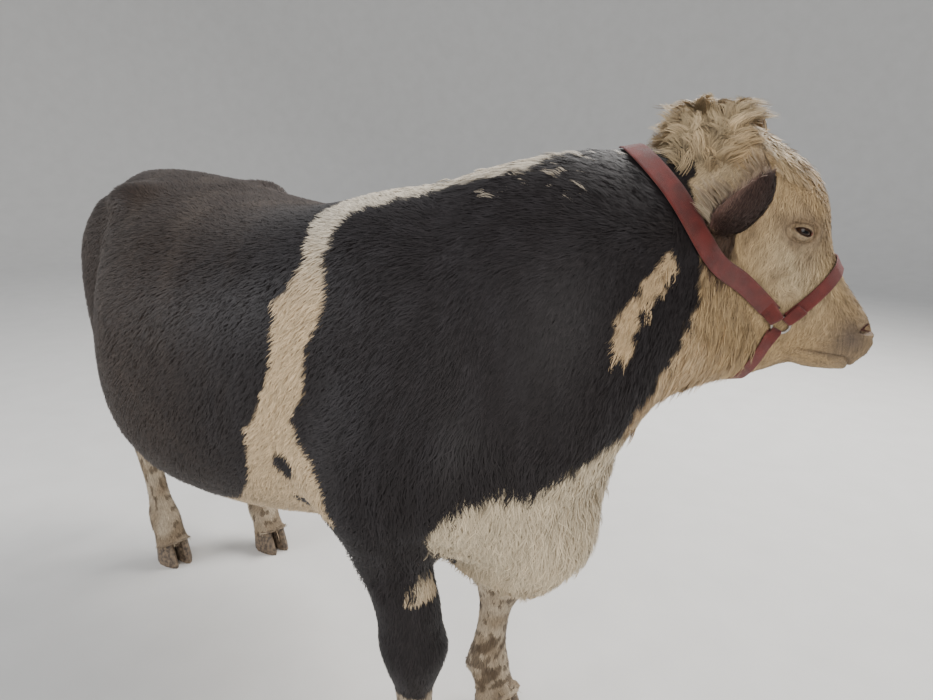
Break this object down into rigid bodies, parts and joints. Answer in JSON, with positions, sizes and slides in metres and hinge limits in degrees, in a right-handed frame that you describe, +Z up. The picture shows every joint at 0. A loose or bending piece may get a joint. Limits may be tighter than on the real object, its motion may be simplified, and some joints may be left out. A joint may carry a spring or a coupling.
{
  "type": "simmental cattle figure",
  "caption": "Life-size still figure of a young beef bull standing square with its head turned to its left, wearing a webbing halter.",
  "frame": {"origin": "middle of the footprint of the whole box, on the ground plane", "axes": "+X forward along the trunk, +Y to the animal's left, +Z up"},
  "size_m": [2.3182, 1.0112, 1.5127],
  "materials": {
    "black_coat": "short dense coat, dark brown to black",
    "cream_coat": "short to curly cream coat",
    "dirty_leg": "short pale coat with dry dirt",
    "claw_horn": "dull horn",
    "ear": "skin with short dark hair",
    "eye": "wet gloss",
    "webbing": "woven flat webbing, worn",
    "ring_metal": "dull plated steel"
  },
  "bodies": {
    "root": {"torso": "black_coat", "neck": "black_coat", "head": "cream_coat", "tail": "cream_coat", "leg_front_right": "black_coat", "leg_front_left": "dirty_leg", "leg_hind_right": "dirty_leg", "leg_hind_left": "dirty_leg", "ear_right": "ear", "ear_left": "ear", "eye_right": "eye", "eye_left": "eye", "claw_front_right_right": "claw_horn", "claw_front_right_left": "claw_horn", "claw_front_left_right": "claw_horn", "claw_front_left_left": "claw_horn", "claw_hind_right_right": "claw_horn", "claw_hind_right_left": "claw_horn", "claw_hind_left_right": "claw_horn", "claw_hind_left_left": "claw_horn", "halter_cheek_right": "webbing", "halter_cheek_left": "webbing", "halter_noseband": "webbing", "halter_chin_strap": "webbing", "halter_ring_right": "ring_metal", "halter_ring_left": "ring_metal"}
  },
  "joints": []
}
